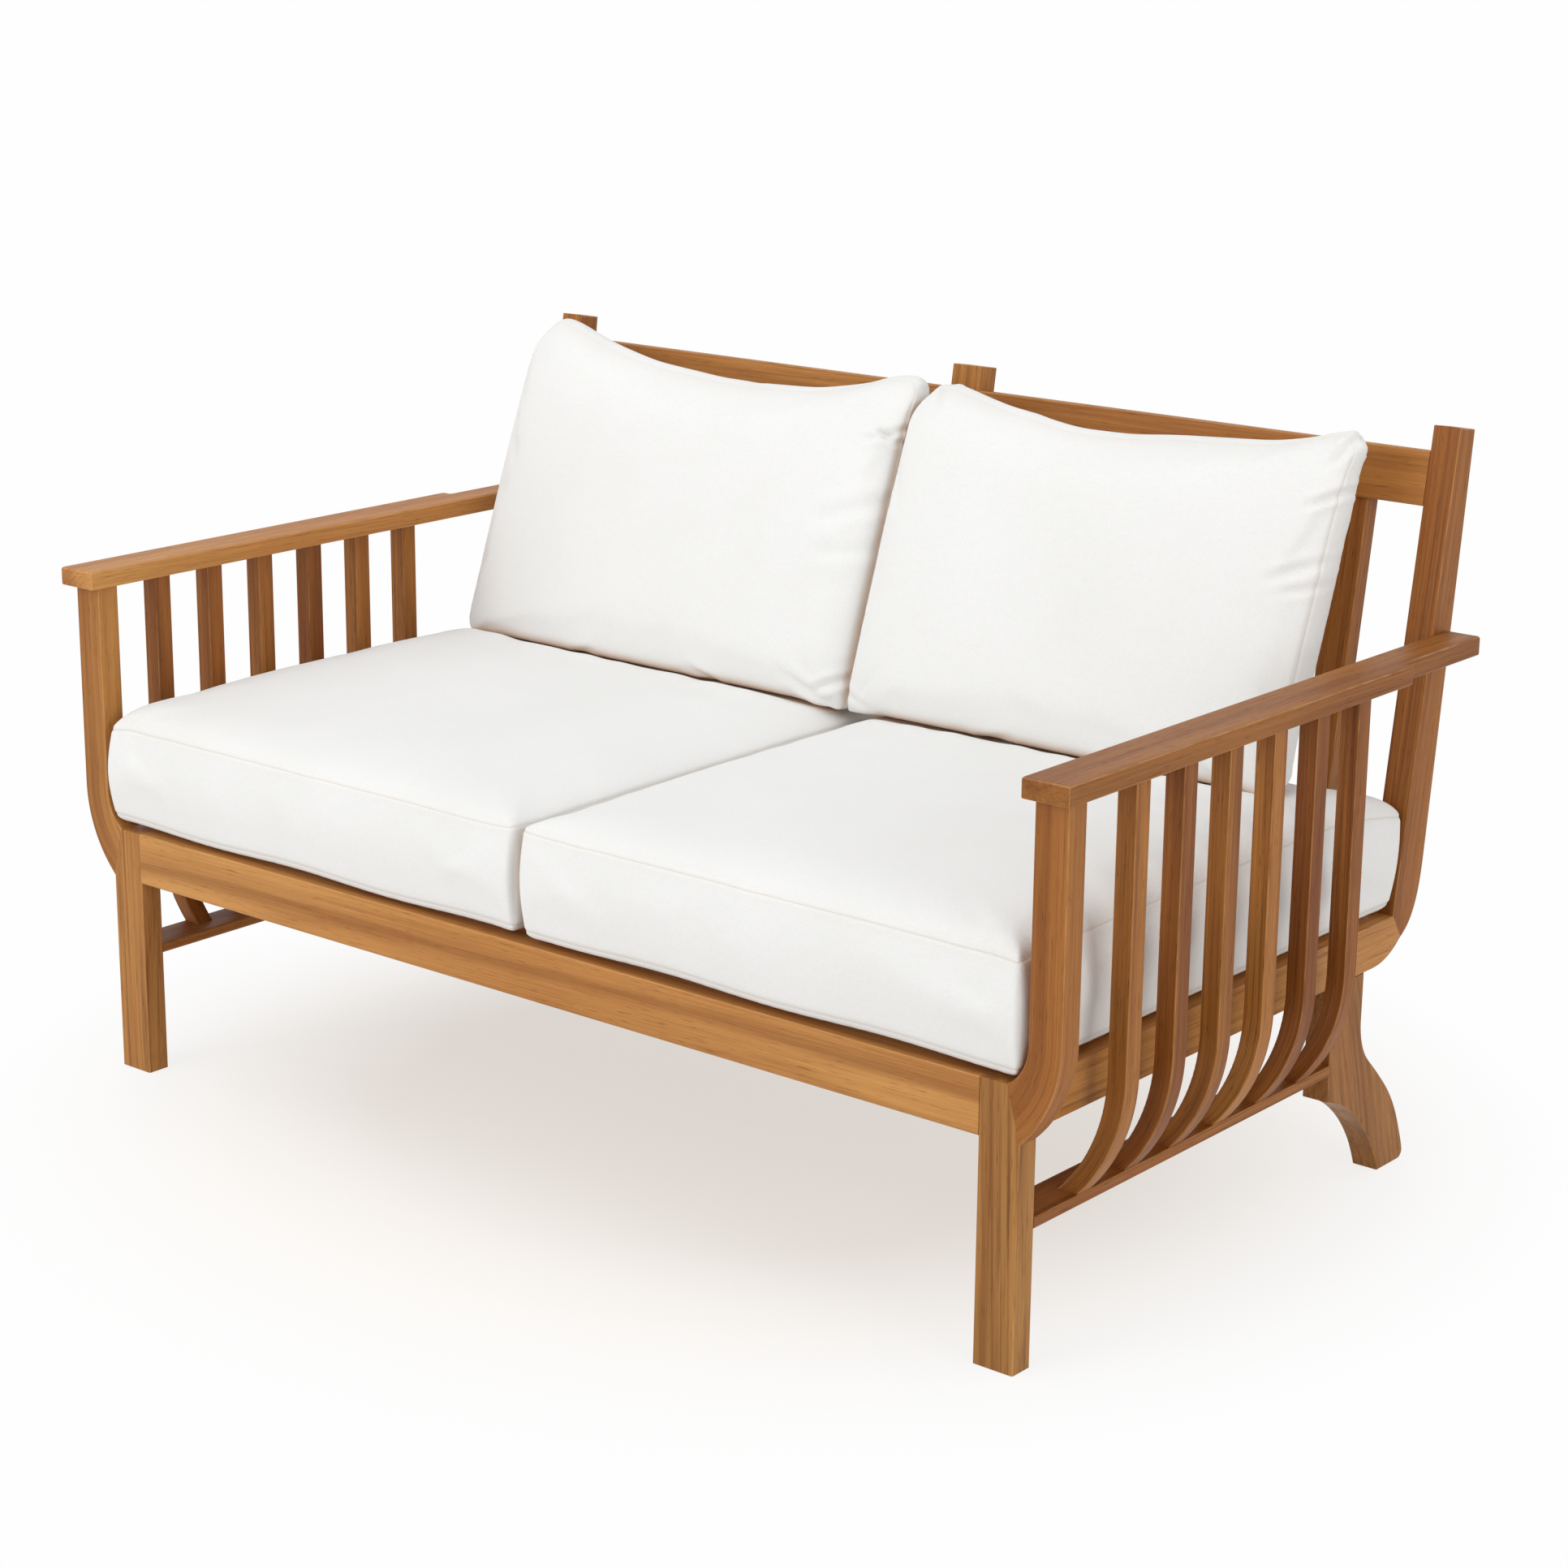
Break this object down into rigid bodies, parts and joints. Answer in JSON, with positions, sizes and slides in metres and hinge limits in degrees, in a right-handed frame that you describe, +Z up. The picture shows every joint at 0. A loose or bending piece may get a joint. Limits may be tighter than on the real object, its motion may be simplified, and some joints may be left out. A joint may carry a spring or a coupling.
{
  "type": "patio loveseat",
  "caption": "Patio loveseat with a slatted hardwood frame, flat armrests over bent slats, curved rear legs and loose seat and back cushions.",
  "frame": {"origin": "on the floor, in the middle of the box round the whole loveseat", "axes": "+Z up, +X to the right seen from the front, along the seat; the front faces -Y"},
  "size_m": [1.408, 0.8162, 0.815],
  "materials": {
    "frame_wood": "satin",
    "armrest_wood": "satin",
    "seat_frame_wood": "matte",
    "dowel_wood": "matte",
    "screw_steel": "satin",
    "seat_cushion_cover": "matte",
    "back_cushion_cover": "matte"
  },
  "bodies": {
    "root": {"arm_post_left": "frame_wood", "arm_post_right": "frame_wood", "arm_slat_1_left": "frame_wood", "arm_slat_1_right": "frame_wood", "arm_slat_2_left": "frame_wood", "arm_slat_2_right": "frame_wood", "arm_slat_3_left": "frame_wood", "arm_slat_3_right": "frame_wood", "arm_slat_4_left": "frame_wood", "arm_slat_4_right": "frame_wood", "arm_slat_5_left": "frame_wood", "arm_slat_5_right": "frame_wood", "arm_slat_6_left": "frame_wood", "arm_slat_6_right": "frame_wood", "armrest_left": "armrest_wood", "armrest_right": "armrest_wood", "back_cushion_left": "back_cushion_cover", "back_cushion_right": "back_cushion_cover", "back_post_left": "frame_wood", "back_post_right": "frame_wood", "back_slat_1_left": "frame_wood", "back_slat_1_right": "frame_wood", "back_slat_2_left": "frame_wood", "back_slat_2_right": "frame_wood", "back_slat_3_left": "frame_wood", "back_slat_3_right": "frame_wood", "back_slat_4_left": "frame_wood", "back_slat_4_right": "frame_wood", "back_slat_5_left": "frame_wood", "back_slat_5_right": "frame_wood", "centre_bearer": "seat_frame_wood", "centre_post": "frame_wood", "cleat_left": "seat_frame_wood", "cleat_right": "seat_frame_wood", "dowels": "dowel_wood", "front_leg_left": "frame_wood", "front_leg_right": "frame_wood", "front_rail": "frame_wood", "lower_back_rail": "frame_wood", "rear_leg_left": "frame_wood", "rear_leg_right": "frame_wood", "rear_seat_rail": "seat_frame_wood", "seat_cushion_left": "seat_cushion_cover", "seat_cushion_right": "seat_cushion_cover", "seat_screws": "screw_steel", "seat_slat_1": "seat_frame_wood", "seat_slat_2": "seat_frame_wood", "seat_slat_3": "seat_frame_wood", "seat_slat_4": "seat_frame_wood", "seat_slat_5": "seat_frame_wood", "seat_slat_6": "seat_frame_wood", "seat_slat_7": "seat_frame_wood", "side_rail_left": "frame_wood", "side_rail_right": "frame_wood", "small_dowels": "dowel_wood", "stretcher_left": "frame_wood", "stretcher_right": "frame_wood", "top_rail_left": "frame_wood", "top_rail_right": "frame_wood"}
  },
  "joints": []
}
